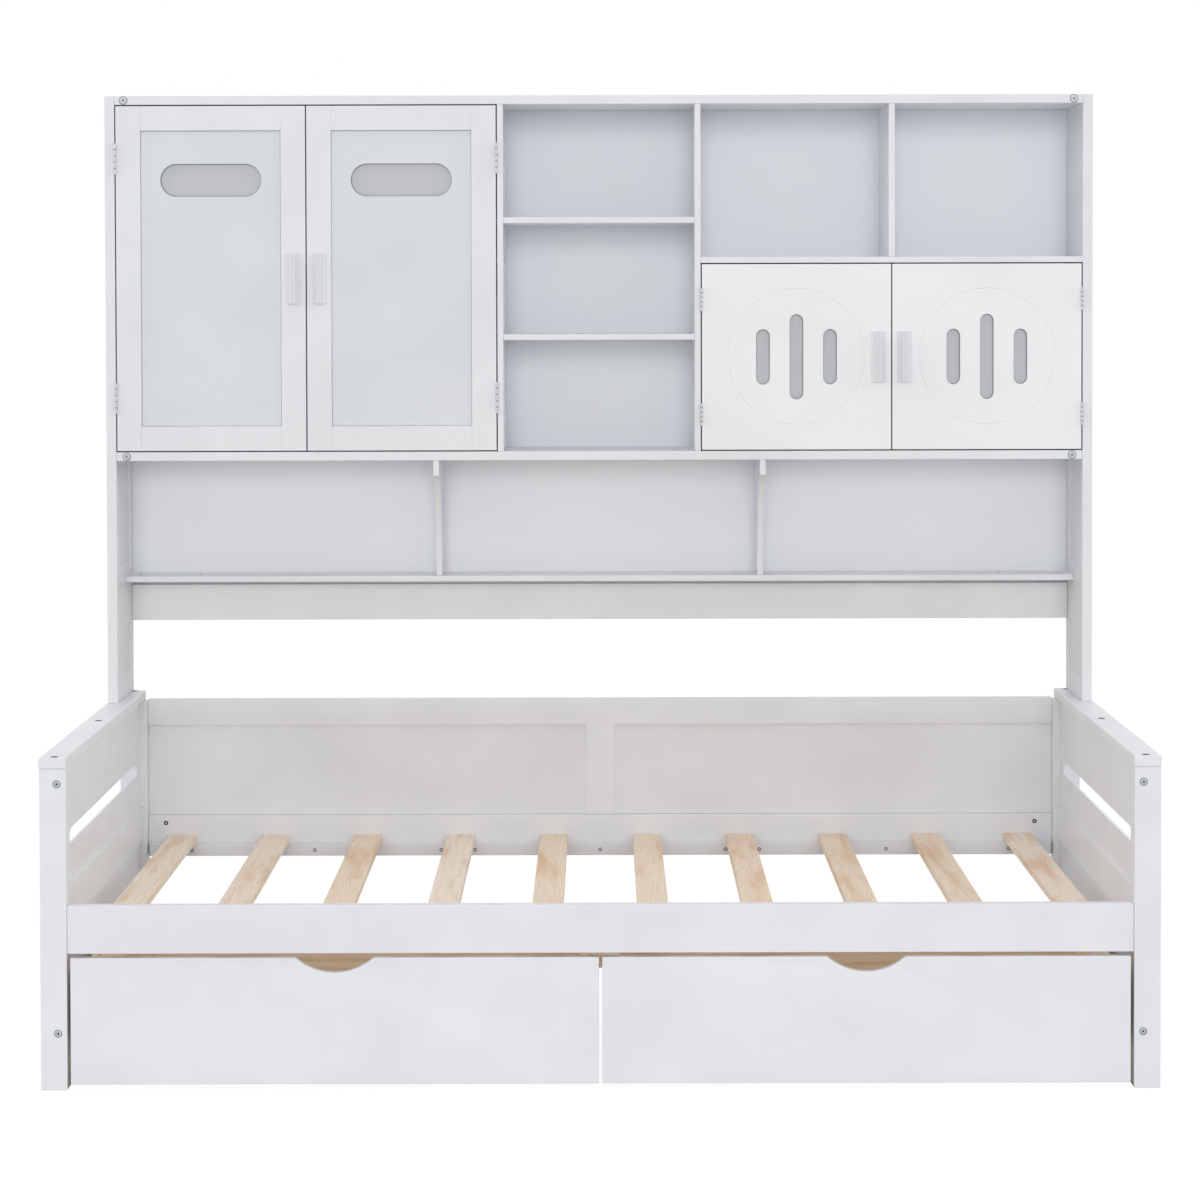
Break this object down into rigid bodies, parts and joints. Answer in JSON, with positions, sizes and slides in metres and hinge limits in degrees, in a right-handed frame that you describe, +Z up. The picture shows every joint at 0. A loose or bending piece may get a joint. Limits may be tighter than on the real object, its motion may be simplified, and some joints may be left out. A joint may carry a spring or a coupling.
{
  "type": "storage daybed",
  "caption": "Single daybed with solid slotted ends, slat base, roll-out drawers and a cabinet and shelf hutch standing along its back edge.",
  "frame": {"origin": "on the floor, under the middle of the box round the whole daybed", "axes": "+X along the bed to the right end, +Y from the drawers to the hutch, +Z up"},
  "size_m": [2.0216, 1.065, 1.843],
  "materials": {
    "white_paint": "satin white paint over pine and fibreboard",
    "painted_sheet": "thin white-faced sheet board",
    "pull_paint": "satin white paint on a moulded strip",
    "slat_wood": "planed, unfinished softwood",
    "drawer_wood": "planed, unfinished softwood and plywood",
    "frosted_acrylic": "frosted translucent sheet, pale grey",
    "hinge_steel": "nickel-plated",
    "wheel_plastic": "moulded"
  },
  "bodies": {
    "root": {"hutch_top": "white_paint", "cabinet_floor": "white_paint", "left_divider": "white_paint", "right_divider": "white_paint", "column_upper_shelf": "white_paint", "column_lower_shelf": "white_paint", "right_shelf": "white_paint", "cubby_divider": "white_paint", "cabinet_shelf": "white_paint", "hutch_back": "painted_sheet", "lower_shelf": "white_paint", "lower_rail": "white_paint", "left_bracket": "white_paint", "right_bracket": "white_paint", "front_rail": "white_paint", "back_bottom_rail": "white_paint", "back_frame": "white_paint", "slat_base": "slat_wood", "left_front_post": "white_paint", "left_back_post": "white_paint", "left_end_cap": "white_paint", "left_end_panel": "white_paint", "hutch_left_side": "white_paint", "right_front_post": "white_paint", "right_back_post": "white_paint", "right_end_cap": "white_paint", "right_end_panel": "white_paint", "hutch_right_side": "white_paint", "tall_left_upper_hinge": "hinge_steel", "tall_left_lower_hinge": "hinge_steel", "tall_right_upper_hinge": "hinge_steel", "tall_right_lower_hinge": "hinge_steel", "short_left_upper_hinge": "hinge_steel", "short_left_lower_hinge": "hinge_steel", "short_right_upper_hinge": "hinge_steel", "short_right_lower_hinge": "hinge_steel"},
    "tall_left_door": {"tall_left_door": "white_paint", "tall_left_pane": "frosted_acrylic", "tall_left_pull": "pull_paint"},
    "tall_right_door": {"tall_right_door": "white_paint", "tall_right_pane": "frosted_acrylic", "tall_right_pull": "pull_paint"},
    "short_left_door": {"short_left_door": "white_paint", "short_left_pane": "frosted_acrylic", "short_left_pull": "pull_paint"},
    "short_right_door": {"short_right_door": "white_paint", "short_right_pane": "frosted_acrylic", "short_right_pull": "pull_paint"},
    "left_drawer": {"left_drawer_front": "white_paint", "left_drawer_tray": "drawer_wood"},
    "left_drawer_front_inner_wheel": {"left_drawer_front_inner_wheel": "wheel_plastic"},
    "left_drawer_front_outer_wheel": {"left_drawer_front_outer_wheel": "wheel_plastic"},
    "left_drawer_back_inner_wheel": {"left_drawer_back_inner_wheel": "wheel_plastic"},
    "left_drawer_back_outer_wheel": {"left_drawer_back_outer_wheel": "wheel_plastic"},
    "right_drawer": {"right_drawer_front": "white_paint", "right_drawer_tray": "drawer_wood"},
    "right_drawer_front_inner_wheel": {"right_drawer_front_inner_wheel": "wheel_plastic"},
    "right_drawer_front_outer_wheel": {"right_drawer_front_outer_wheel": "wheel_plastic"},
    "right_drawer_back_inner_wheel": {"right_drawer_back_inner_wheel": "wheel_plastic"},
    "right_drawer_back_outer_wheel": {"right_drawer_back_outer_wheel": "wheel_plastic"}
  },
  "joints": [
    {"name": "tall_left_door_swing", "type": "hinge", "parent": "root", "child": "tall_left_door", "pos_m": [-0.98625, 0.2932, 1.47075], "axis": [0, 0, -1], "range_deg": [0, 110]},
    {"name": "tall_right_door_swing", "type": "hinge", "parent": "root", "child": "tall_right_door", "pos_m": [-0.20875, 0.2932, 1.47075], "axis": [0, 0, 1], "range_deg": [0, 110]},
    {"name": "short_left_door_swing", "type": "hinge", "parent": "root", "child": "short_left_door", "pos_m": [0.20875, 0.2932, 1.3085], "axis": [0, 0, -1], "range_deg": [0, 110]},
    {"name": "short_right_door_swing", "type": "hinge", "parent": "root", "child": "short_right_door", "pos_m": [0.98625, 0.2932, 1.3085], "axis": [0, 0, 1], "range_deg": [0, 110]},
    {"name": "left_drawer_slide", "type": "slide", "parent": "root", "child": "left_drawer", "axis": [0, -1, 0], "range_m": [0, 0.45]},
    {"name": "left_drawer_front_inner_wheel_roll", "type": "hinge", "parent": "left_drawer", "child": "left_drawer_front_inner_wheel", "pos_m": [-0.0463, -0.44025, 0.0183], "axis": [1, 0, 0], "continuous": true},
    {"name": "left_drawer_front_outer_wheel_roll", "type": "hinge", "parent": "left_drawer", "child": "left_drawer_front_outer_wheel", "pos_m": [-0.9132, -0.44025, 0.0183], "axis": [1, 0, 0], "continuous": true},
    {"name": "left_drawer_back_inner_wheel_roll", "type": "hinge", "parent": "left_drawer", "child": "left_drawer_back_inner_wheel", "pos_m": [-0.0463, -0.0385, 0.0183], "axis": [1, 0, 0], "continuous": true},
    {"name": "left_drawer_back_outer_wheel_roll", "type": "hinge", "parent": "left_drawer", "child": "left_drawer_back_outer_wheel", "pos_m": [-0.9132, -0.0385, 0.0183], "axis": [1, 0, 0], "continuous": true},
    {"name": "right_drawer_slide", "type": "slide", "parent": "root", "child": "right_drawer", "axis": [0, -1, 0], "range_m": [0, 0.45]},
    {"name": "right_drawer_front_inner_wheel_roll", "type": "hinge", "parent": "right_drawer", "child": "right_drawer_front_inner_wheel", "pos_m": [0.0463, -0.44025, 0.0183], "axis": [1, 0, 0], "continuous": true},
    {"name": "right_drawer_front_outer_wheel_roll", "type": "hinge", "parent": "right_drawer", "child": "right_drawer_front_outer_wheel", "pos_m": [0.9132, -0.44025, 0.0183], "axis": [1, 0, 0], "continuous": true},
    {"name": "right_drawer_back_inner_wheel_roll", "type": "hinge", "parent": "right_drawer", "child": "right_drawer_back_inner_wheel", "pos_m": [0.0463, -0.0385, 0.0183], "axis": [1, 0, 0], "continuous": true},
    {"name": "right_drawer_back_outer_wheel_roll", "type": "hinge", "parent": "right_drawer", "child": "right_drawer_back_outer_wheel", "pos_m": [0.9132, -0.0385, 0.0183], "axis": [1, 0, 0], "continuous": true}
  ],
  "couplings": [
    {"joint": "left_drawer_front_inner_wheel_roll", "follows": "left_drawer_slide", "rad_per_m": 55.556},
    {"joint": "left_drawer_front_outer_wheel_roll", "follows": "left_drawer_slide", "rad_per_m": 55.556},
    {"joint": "left_drawer_back_inner_wheel_roll", "follows": "left_drawer_slide", "rad_per_m": 55.556},
    {"joint": "left_drawer_back_outer_wheel_roll", "follows": "left_drawer_slide", "rad_per_m": 55.556},
    {"joint": "right_drawer_front_inner_wheel_roll", "follows": "right_drawer_slide", "rad_per_m": 55.556},
    {"joint": "right_drawer_front_outer_wheel_roll", "follows": "right_drawer_slide", "rad_per_m": 55.556},
    {"joint": "right_drawer_back_inner_wheel_roll", "follows": "right_drawer_slide", "rad_per_m": 55.556},
    {"joint": "right_drawer_back_outer_wheel_roll", "follows": "right_drawer_slide", "rad_per_m": 55.556}
  ]
}
